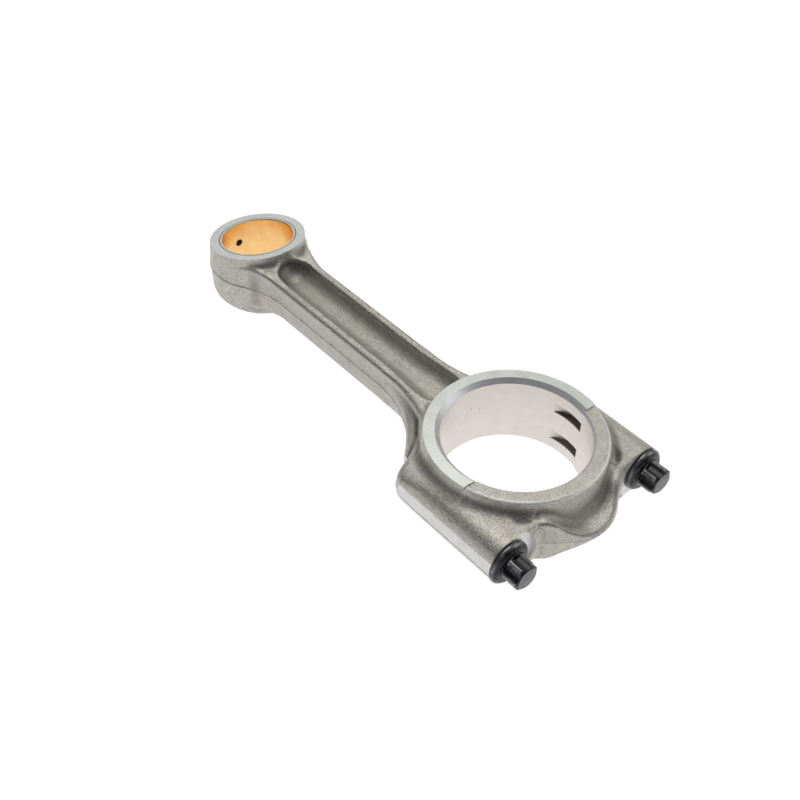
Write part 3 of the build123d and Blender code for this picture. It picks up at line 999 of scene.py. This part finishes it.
def spots(tree, where, size, width):
    """Sparse small dots, 1 inside a dot and 0 outside."""
    inputs = {"Vector": where, "Scale": 1 / size, "Randomness": 1.0}
    near = node(tree, "ShaderNodeTexVoronoi", inputs).outputs["Distance"]
    return span(tree, near, width * 0.6, width, 1.0, 0.0)


def forged_material():
    """Shot-blasted forging: grainy grey steel, warm in patches, with painted shade in its hollows and on its
    lower edges, a painted highlight on the cap's rim, and a thin flash line.
    """
    made, tree, shader, where = new_material("forged_steel", 0.8)
    grain = noise(tree, where, 0.62, 2.0, 0.6)
    blotch = noise(tree, where, 5.0, 4.0, 0.6)
    patch = noise(tree, where, 24.0, 2.0, 0.5)
    hollow = node(tree, "ShaderNodeAttribute", attribute_name="crevice").outputs["Fac"]
    parts = node(tree, "ShaderNodeSeparateXYZ", {"Vector": where}).outputs
    warm = mix(tree, span(tree, patch, 0.35, 0.65, 0, 1), (0.56, 0.54, 0.47, 1), (0.57, 0.56, 0.54, 1))
    tone = mix(tree, full_span(tree, blotch, 0, 1), (0.46, 0.45, 0.43, 1), warm)
    grained = mix(tree, 1.0, tone, full_span(tree, grain, 0.55, 1.42), "MULTIPLY")
    height = maths(tree, "ABSOLUTE", parts["Z"], 0)
    rough_hollow = maths(tree, "ADD", hollow, full_span(tree, grain, -0.3, 0.3))
    # painted shade: a near-black tone in the hollows and fillets, standing in for the shade that falls there
    shaded = mix(tree, hollow_shade_mask(tree, parts, rough_hollow), grained, (0.055, 0.05, 0.045, 1))
    # painted highlight: a near-white tone on the rounded rims high up, such as the cap ring's outer rim
    rim = span(tree, height, *HIGHLIGHT_HEIGHTS, 0.0, 1.0)
    wear_and_highlight = maths(tree, "MULTIPLY", span(tree, hollow, -0.7, -1.8, 0.0, 0.9), rim)
    bright = mix(tree, wear_and_highlight, shaded, (0.95, 0.96, 0.95, 1))
    # painted shade: a dark tone on the rounded convex edges below the top faces, such as the flange's outer
    # edge
    edge = span(tree, rough_hollow, -0.5, -1.2, 0.0, 0.5)
    scaled = maths(tree, "MULTIPLY", edge, span(tree, height, *EDGE_SHADE_HEIGHTS, 1.0, 0.0))
    edged = mix(tree, scaled, bright, (0.2, 0.19, 0.18, 1))
    ragged = maths(tree, "ADD", height, full_span(tree, blotch, -0.12, 0.12))
    fading = span(tree, parts["X"], *SEAM_FADE_X, 0.0, 1.0)
    seam = maths(tree, "MULTIPLY", span(tree, ragged, *SEAM_HEIGHTS, 0.75, 0.0), fading)
    tree.links.new(mix(tree, seam, edged, (0.1, 0.09, 0.085, 1)), shader.inputs["Base Color"])
    # lower metallic under the painted highlight, so that the rim catches more diffuse light from the lamps
    tree.links.new(span(tree, wear_and_highlight, 0.0, 1.0, 0.8, 0.2), shader.inputs["Metallic"])
    tree.links.new(full_span(tree, grain, 0.36, 0.58), shader.inputs["Roughness"])
    pits = maths(tree, "MULTIPLY", spots(tree, where, 1.3, 0.3), 0.5)
    bump(tree, shader, maths(tree, "SUBTRACT", grain, pits), 0.2)
    return made


def hollow_shade_mask(tree, parts, rough_hollow):
    """Painted shade in the forging's hollows, which ends before the outer side of the small end."""
    inner = span(tree, maths(tree, "ABSOLUTE", parts["Y"], 0), *SHADE_END_Y, 1.0, 0.0)
    reach = maths(tree, "MAXIMUM", span(tree, parts["X"], *SHADE_END_X, 1.0, 0.0), inner)
    return maths(tree, "MULTIPLY", span(tree, rough_hollow, 0.08, 0.95, 0.0, 0.92), reach)


def machined(name, metallic, lines, cloud, tones, contrast, roughness, depth, specks=None):
    """Machined metal: two cloudy tones under fine tool lines, with sparse specks if given."""
    made, tree, shader, where = new_material(name, metallic)
    marks = noise(tree, where, roughness=0.6, **lines)
    size, detail, edge = cloud
    share = span(tree, noise(tree, where, size, detail), edge, 1 - edge, 0, 1)
    colour = mix(tree, 1.0, mix(tree, share, *tones), full_span(tree, marks, *contrast), "MULTIPLY")
    if specks:
        patches = span(tree, noise(tree, where, specks["patch"]), specks["from"], 0.6, 0, 1)
        dots = maths(tree, "MULTIPLY", spots(tree, where, specks["size"], specks["width"]), patches)
        colour = mix(tree, dots, colour, specks["tone"])
    tree.links.new(colour, shader.inputs["Base Color"])
    tree.links.new(full_span(tree, marks, *roughness), shader.inputs["Roughness"])
    bump(tree, shader, marks, depth, LINE_STRENGTH)
    return made


def turning_lines(size):
    """Fine lines around a bore, as a lathe or a boring bar leaves them."""
    return {"size": size, "detail": 2.0, "stretch": (0.02, 0.02, 1)}


def ground_material():
    """Ground steel face: bright satin with fine straight grinding lines."""
    return machined(
        "ground_steel", 0.9, lines={"size": 0.25, "detail": 3.0, "stretch": (0.03, 1, 1), "turn": 24},
        cloud=(9.0, 2.0, 0.35), tones=((0.66, 0.69, 0.68, 1), (0.72, 0.75, 0.73, 1)),
        contrast=(0.9, 1.06), roughness=(0.26, 0.42), depth=0.01,
    )


def milled_material():
    """Milled steel: plain light grey with cutter marks along the rod."""
    return machined(
        "milled_steel", 0.6, lines={"size": 0.5, "detail": 3.0, "stretch": (1, 0.2, 0.2)},
        cloud=(5.0, 2.0, 0.35), tones=((0.70, 0.70, 0.70, 1), (0.80, 0.80, 0.81, 1)),
        contrast=(0.9, 1.05), roughness=(0.34, 0.5), depth=0.015,
    )


def bored_material():
    """Fine-bored steel with a warm tint, faint turning lines and a few rust specks."""
    rust = {"patch": 14.0, "from": 0.5, "size": 4.5, "width": 0.09, "tone": (0.20, 0.11, 0.06, 1)}
    return machined(
        "bored_steel", 0.8, lines=turning_lines(0.16),
        cloud=(8.0, 3.0, 0.3), tones=((0.74, 0.70, 0.67, 1), (0.80, 0.76, 0.72, 1)),
        contrast=(0.94, 1.04), roughness=(0.34, 0.46), depth=0.006, specks=rust,
    )


def chamfer_material():
    """Freshly turned chamfer: smooth bright steel with faint turning lines."""
    return machined(
        "turned_steel", 0.75, lines=turning_lines(0.12),
        cloud=(7.0, 2.0, 0.35), tones=((0.66, 0.67, 0.71, 1), (0.72, 0.73, 0.76, 1)),
        contrast=(0.93, 1.05), roughness=(0.4, 0.5), depth=0.006,
    )


def bronze_material():
    """Bored bronze lining: orange gold, darker in patches, with a few dark specks."""
    pores = {"patch": 9.0, "from": 0.54, "size": 2.6, "width": 0.12, "tone": (0.18, 0.09, 0.03, 1)}
    return machined(
        "bush_bronze", 0.9, lines=turning_lines(0.2),
        cloud=(6.0, 3.0, 0.3), tones=((0.88, 0.54, 0.21, 1), (0.95, 0.64, 0.29, 1)),
        contrast=(0.95, 1.04), roughness=(0.24, 0.36), depth=0.005, specks=pores,
    )


def slot_material():
    """Tang slots: bored steel, with painted shade on the shelves that face up and towards their deep ends."""
    made, tree, shader, where = new_material("slot_steel", 0.8)
    parts = node(tree, "ShaderNodeSeparateXYZ", {"Vector": where}).outputs
    flat = node(tree, "ShaderNodeCombineXYZ", {"X": parts["X"], "Y": parts["Y"]}).outputs["Vector"]
    away = node(tree, "ShaderNodeVectorMath", {0: flat}, operation="LENGTH").outputs["Value"]
    normal = node(tree, "ShaderNodeNewGeometry").outputs["Normal"]
    upward = node(tree, "ShaderNodeSeparateXYZ", {"Vector": normal}).outputs["Z"]
    cloud = noise(tree, where, 1.2, 3.0)
    # painted shade: darker with depth into the slot and darkest on its up-facing shelf, where shade falls
    deep = span(tree, away, BORE_RADIUS, BORE_RADIUS + SLOT_DEPTH, 0.0, 1.0)
    inwards = span(tree, away, BORE_RADIUS, BORE_RADIUS + 1.0, 0.5, 1.0)
    shelf_shade = maths(tree, "MULTIPLY", full_span(tree, upward, 0.0, 0.85), inwards)
    grey = mix(tree, deep, (0.74, 0.70, 0.67, 1), (0.55, 0.52, 0.50, 1))
    shaded = mix(tree, shelf_shade, grey, (0.27, 0.25, 0.23, 1))
    clouded = mix(tree, 1.0, shaded, full_span(tree, cloud, 0.85, 1.1), "MULTIPLY")
    tree.links.new(clouded, shader.inputs["Base Color"])
    tree.links.new(full_span(tree, cloud, 0.34, 0.5), shader.inputs["Roughness"])
    bump(tree, shader, cloud, 0.02)
    return made


def mottled(name, metallic, grain, tones, roughness, depth):
    """Rough metal whose tone, roughness and relief follow one noise of a size, detail and roughness."""
    made, tree, shader, where = new_material(name, metallic)
    cloud = noise(tree, where, *grain)
    tree.links.new(mix(tree, full_span(tree, cloud, 0, 1), *tones), shader.inputs["Base Color"])
    tree.links.new(full_span(tree, cloud, *roughness), shader.inputs["Roughness"])
    bump(tree, shader, cloud, depth)
    return made


def drilled_material():
    """Drilled steel with painted shade, standing in for the shadow inside a hole: dull and dark."""
    tones = ((0.05, 0.045, 0.04, 1), (0.13, 0.12, 0.11, 1))
    return mottled("drilled_steel", 0.6, (0.8, 3.0, 0.5), tones, (0.4, 0.6), 0.05)


def fracture_material():
    """Broken steel of the joint: bright grains of many directions."""
    tones = ((0.27, 0.27, 0.28, 1), (0.58, 0.58, 0.60, 1))
    return mottled("fractured_steel", 0.85, (0.5, 4.0, 0.7), tones, (0.35, 0.6), 0.35)


def bolt_material(name, light, dark, roughness):
    """Blackened steel, a little uneven and oily, with painted highlights on its ridges."""
    made, tree, shader, where = new_material(name, 0.55)
    cloud = noise(tree, where, 2.5, 3.0)
    ridge = node(tree, "ShaderNodeAttribute", attribute_name="ridge").outputs["Fac"]
    # painted highlight: a light grey on the marked ridges, standing in for the lamps' glints
    wear_and_highlight = maths(tree, "MULTIPLY", ridge, span(tree, cloud, 0.3, 0.6, 0.4, 1.0))
    tone = mix(tree, full_span(tree, cloud, 0, 1), dark, light)
    tree.links.new(mix(tree, wear_and_highlight, tone, (0.6, 0.61, 0.63, 1)), shader.inputs["Base Color"])
    tree.links.new(full_span(tree, cloud, *roughness), shader.inputs["Roughness"])
    bump(tree, shader, noise(tree, where, 0.3, 2.0), 0.02, 0.7)
    return made


def make_paint():
    """Every material of the object, by name."""
    return {
        "forged": forged_material(),
        "ground": ground_material(),
        "milled": milled_material(),
        "bored": bored_material(),
        "slot": slot_material(),
        "chamfer": chamfer_material(),
        "bronze": bronze_material(),
        "drilled": drilled_material(),
        "fracture": fracture_material(),
        "bolt": bolt_material("black_steel", (0.035, 0.037, 0.042, 1), (0.012, 0.013, 0.016, 1), (0.2, 0.34)),
        "bolt_end": bolt_material(
            "black_steel_worn", (0.22, 0.22, 0.23, 1), (0.09, 0.09, 0.1, 1), (0.36, 0.5)
        ),
    }


def direction(azimuth, elevation):
    """Unit vector towards an azimuth and elevation, in degrees."""
    a, e = math.radians(azimuth), math.radians(elevation)
    return Vector((math.sin(a) * math.cos(e), -math.cos(a) * math.cos(e), math.sin(e)))


def make_camera():
    """Camera that looks down on the rod from beyond its cap."""
    data = bpy.data.cameras.new("camera")
    data.sensor_width = SENSOR_WIDTH
    data.lens = LENS
    camera = bpy.data.objects.new("camera", data)
    bpy.context.scene.collection.objects.link(camera)
    back = direction(CAMERA_AZIMUTH, CAMERA_ELEVATION)
    right = Vector((0, 0, 1)).cross(back).normalized()
    up = back.cross(right)
    roll = math.radians(CAMERA_ROLL)
    rolled_right = right * math.cos(roll) + up * math.sin(roll)
    rolled_up = up * math.cos(roll) - right * math.sin(roll)
    turn = Matrix((rolled_right, rolled_up, back)).transposed()
    camera.matrix_world = Matrix.Translation(Vector(CAMERA_TARGET) + back * CAMERA_DISTANCE) @ turn.to_4x4()
    data.clip_start = 0.01
    data.clip_end = 50
    bpy.context.scene.camera = camera


def make_light(name, azimuth, elevation, distance, size, power, colour):
    """Soft square lamp that faces the middle of the object."""
    data = bpy.data.lights.new(name, "AREA")
    data.size = size
    data.energy = power
    data.color = colour
    lamp = bpy.data.objects.new(name, data)
    bpy.context.scene.collection.objects.link(lamp)
    back = direction(azimuth, elevation)
    lamp.location = Vector(LIGHT_TARGET) + back * distance
    lamp.rotation_euler = back.to_track_quat("Z", "Y").to_euler()


def make_world():
    """Studio surroundings: a dark room with a bright wall and ceiling beyond the object."""
    world = bpy.data.worlds.new("studio")
    bpy.context.scene.world = world
    world.use_nodes = True
    tree = world.node_tree
    place = node(tree, "ShaderNodeTexCoord").outputs["Generated"]
    bright_way = tuple(direction(BRIGHT_AZIMUTH, BRIGHT_ELEVATION))
    facing = node(tree, "ShaderNodeVectorMath", {0: place, 1: bright_way}, operation="DOT_PRODUCT")
    share = span(tree, facing.outputs["Value"], DARK_EDGE, BRIGHT_EDGE, 0.0, 1.0)
    tree.links.new(mix(tree, share, DARK_TONE, BRIGHT_TONE), tree.nodes["Background"].inputs["Color"])


def make_floor(low):
    """Plain pale floor just under the object."""
    profile = [(low - FLOOR_THICKNESS, FLOOR_RADIUS), (low, FLOOR_RADIUS)]
    floor = turned("floor", profile, "Z", (FLOOR_CENTRE_X, 0, 0), HOLE_SEGMENTS)
    made = bpy.data.materials.new("floor_white")
    made.use_nodes = True
    shader = made.node_tree.nodes["Principled BSDF"]
    shader.inputs["Base Color"].default_value = FLOOR_TONE
    shader.inputs["Roughness"].default_value = FLOOR_ROUGHNESS
    shader.inputs["Emission Color"].default_value = FLOOR_GLOW_TONE
    shader.inputs["Emission Strength"].default_value = FLOOR_GLOW
    floor.data.materials.append(made)


def measured_places():
    """Places that the shapes take from the CAD frame, in millimetres."""
    rod_low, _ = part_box("rod_body")
    bush_low, bush_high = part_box("small_end_bush")
    bolt_low, bolt_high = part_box("cap_bolt_left")
    return {
        "parting_x": rod_low.x / MM,
        "eye_x": (bush_low.x + bush_high.x) / 2 / MM,
        "bolt_y": (bolt_low.y + bolt_high.y) / 2 / MM,
        "seat_x": bolt_high.x / MM - BOLT_LENGTH,
    }


def main():
    """Builds the object, the studio and the camera."""
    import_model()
    cad_box = [list(corner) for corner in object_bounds()]
    at = measured_places()
    make_camera()
    paint = make_paint()
    make_rod(at, paint)
    make_cap(at, paint)
    make_bush(at, paint)
    for side in (1, -1):
        make_bolt(side, at, paint)
    make_floor(cad_box[0][2] / MM - FLOOR_GAP)
    for light in LIGHTS:
        make_light(*light)
    make_world()
    bpy.context.scene.view_settings.view_transform = "Standard"


main()
